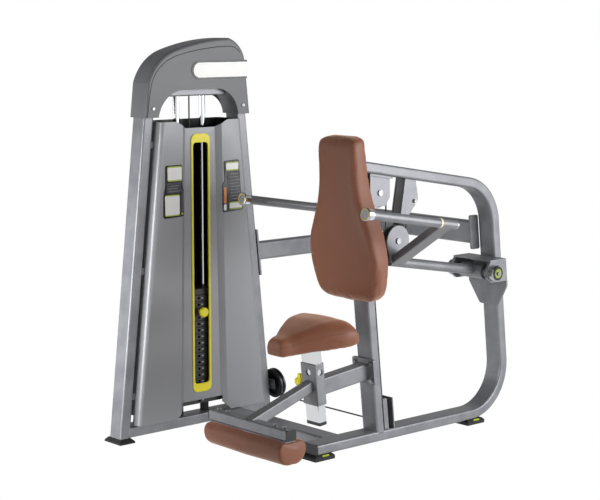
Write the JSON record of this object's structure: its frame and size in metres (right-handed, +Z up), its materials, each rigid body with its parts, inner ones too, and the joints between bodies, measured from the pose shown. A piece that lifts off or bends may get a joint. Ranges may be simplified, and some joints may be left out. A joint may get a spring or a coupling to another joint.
{
  "type": "seated triceps press machine",
  "caption": "Seated triceps press machine: plate tower with an arched cap, loop frame with leaning uprights, bell-shaped back pad, saddle seat, press arm and foot hold-down pad.",
  "frame": {"origin": "middle of the machine's outline on the floor", "axes": "+X from the weight tower's free side towards the loop frame's rear upright, +Y from the user towards the weight tower, +Z up"},
  "size_m": [1.4229, 1.0765, 1.503],
  "materials": {
    "frame_powder_coat": "silver-grey metallic powder coat, satin",
    "shroud_paint": "grey metallic sprayed sheet steel, satin",
    "cap_abs": "moulded grey ABS, fine grain",
    "slot_yellow": "moulded yellow plastic",
    "leather_brown": "stitched brown imitation leather over foam",
    "board_black": "black backing board",
    "chrome": "polished chrome plate",
    "zinc_steel": "zinc plated",
    "plate_iron": "black stoved enamel",
    "rubber_black": "moulded",
    "nylon_black": "cast nylon, turned",
    "cable_black": "nylon-coated steel rope"
  },
  "bodies": {
    "machine_frame": {"tower_base": "frame_powder_coat", "tower_uprights": "frame_powder_coat", "front_shroud": "shroud_paint", "rear_shroud": "shroud_paint", "shroud_tabs": "shroud_paint", "slot_frame": "slot_yellow", "tower_cap": "cap_abs", "cap_back_cover": "cap_abs", "guide_rods": "chrome", "rubber_buffers": "rubber_black", "weight_plates": "plate_iron", "drive_cable": "cable_black", "arm_strands": "cable_black", "stack_cable": "cable_black", "cable_anchor": "zinc_steel", "pulley_carrier": "frame_powder_coat", "root_axles": "zinc_steel", "floor_wheel_brackets": "frame_powder_coat", "upper_bracket": "frame_powder_coat", "loop_frame": "frame_powder_coat", "middle_upright": "frame_powder_coat", "tube_caps": "nylon_black", "rubber_feet": "rubber_black", "cross_tube": "frame_powder_coat", "tower_beam": "frame_powder_coat", "rear_cross_beam": "frame_powder_coat", "frame_bolts": "zinc_steel", "stop_post": "frame_powder_coat", "pivot_yoke": "frame_powder_coat", "bearing_housings": "frame_powder_coat", "pivot_shaft": "zinc_steel", "back_pad": "leather_brown", "back_board": "board_black", "seat_sleeve": "frame_powder_coat", "seat_beam": "frame_powder_coat", "foot_strut": "frame_powder_coat", "foot_bar": "frame_powder_coat", "foot_pad": "leather_brown"},
    "press_arm": {"press_lever": "frame_powder_coat", "press_arms": "frame_powder_coat", "hand_bars": "frame_powder_coat", "hand_caps": "chrome", "arm_pulley_bracket": "frame_powder_coat", "arm_axle": "zinc_steel", "arm_cable_loop": "cable_black"},
    "lifted_stack": {"lifted_plates": "plate_iron", "head_plate": "plate_iron", "selector_rod": "zinc_steel"},
    "selector": {"selector_pin": "zinc_steel", "pin_knob": "slot_yellow"},
    "seat": {"seat_cushion": "leather_brown", "seat_board": "board_black", "seat_post": "chrome"},
    "seat_lock_pin": {"seat_lock": "slot_yellow"},
    "inner_wheel": {"top_pulley_inner": "nylon_black"},
    "outer_wheel": {"top_pulley_outer": "nylon_black"},
    "tower_wheel": {"tower_pulley": "nylon_black"},
    "base_wheel": {"base_pulley": "nylon_black"},
    "upper_wheel": {"upper_pulley": "nylon_black"},
    "arm_wheel": {"arm_pulley": "nylon_black"}
  },
  "joints": [
    {"name": "press_arm_hinge", "type": "hinge", "parent": "machine_frame", "child": "press_arm", "pos_m": [0.55252, -0.18975, 0.604], "axis": [0, -1, 0], "range_deg": [0, 30], "deforming": ["arm_strands"]},
    {"name": "stack_lift", "type": "slide", "parent": "machine_frame", "child": "lifted_stack", "axis": [0, 0, 1], "range_m": [0, 0.484], "deforming": ["stack_cable"]},
    {"name": "selector_pin_slide", "type": "slide", "parent": "lifted_stack", "child": "selector", "axis": [0, -1, 0], "range_m": [0, 0.07]},
    {"name": "seat_height", "type": "slide", "parent": "machine_frame", "child": "seat", "axis": [-0.1066, 0, 0.9943], "range_m": [-0.04, 0.1]},
    {"name": "seat_lock_pull", "type": "slide", "parent": "machine_frame", "child": "seat_lock_pin", "axis": [0, 1, 0], "range_m": [0, 0.012], "stiffness_N_per_m": 600, "springref_m": -0.01},
    {"name": "inner_wheel_spin", "type": "hinge", "parent": "machine_frame", "child": "inner_wheel", "pos_m": [-0.28048, 0.47925, 1.408], "axis": [0, 1, 0], "range_deg": [0, 572.9]},
    {"name": "outer_wheel_spin", "type": "hinge", "parent": "machine_frame", "child": "outer_wheel", "pos_m": [-0.17098, 0.47925, 1.408], "axis": [0, 1, 0], "range_deg": [0, 572.9]},
    {"name": "tower_wheel_spin", "type": "hinge", "parent": "machine_frame", "child": "tower_wheel", "pos_m": [0.05454, 0.43125, 0.125], "axis": [-0.9906, 0, -0.1367], "range_deg": [0, 572.9]},
    {"name": "base_wheel_spin", "type": "hinge", "parent": "machine_frame", "child": "base_wheel", "pos_m": [0.05599, -0.14175, 0.12518], "axis": [-0.9943, 0, -0.1066], "range_deg": [0, 572.9]},
    {"name": "upper_wheel_spin", "type": "hinge", "parent": "machine_frame", "child": "upper_wheel", "pos_m": [0.01636, -0.18975, 0.945], "axis": [0, 1, 0], "range_deg": [0, 572.9]},
    {"name": "arm_wheel_spin", "type": "hinge", "parent": "press_arm", "child": "arm_wheel", "pos_m": [0.11236, -0.18975, 0.76], "axis": [0, -1, 0], "range_deg": [0, 286.9]}
  ],
  "couplings": [
    {"joint": "stack_lift", "follows": "press_arm_hinge", "m_per_rad": 0.915},
    {"joint": "inner_wheel_spin", "follows": "press_arm_hinge", "ratio": 19.062},
    {"joint": "outer_wheel_spin", "follows": "press_arm_hinge", "ratio": 19.062},
    {"joint": "tower_wheel_spin", "follows": "press_arm_hinge", "ratio": 19.062},
    {"joint": "base_wheel_spin", "follows": "press_arm_hinge", "ratio": 19.062},
    {"joint": "upper_wheel_spin", "follows": "press_arm_hinge", "ratio": 19.062},
    {"joint": "arm_wheel_spin", "follows": "press_arm_hinge", "ratio": 9.5312}
  ]
}
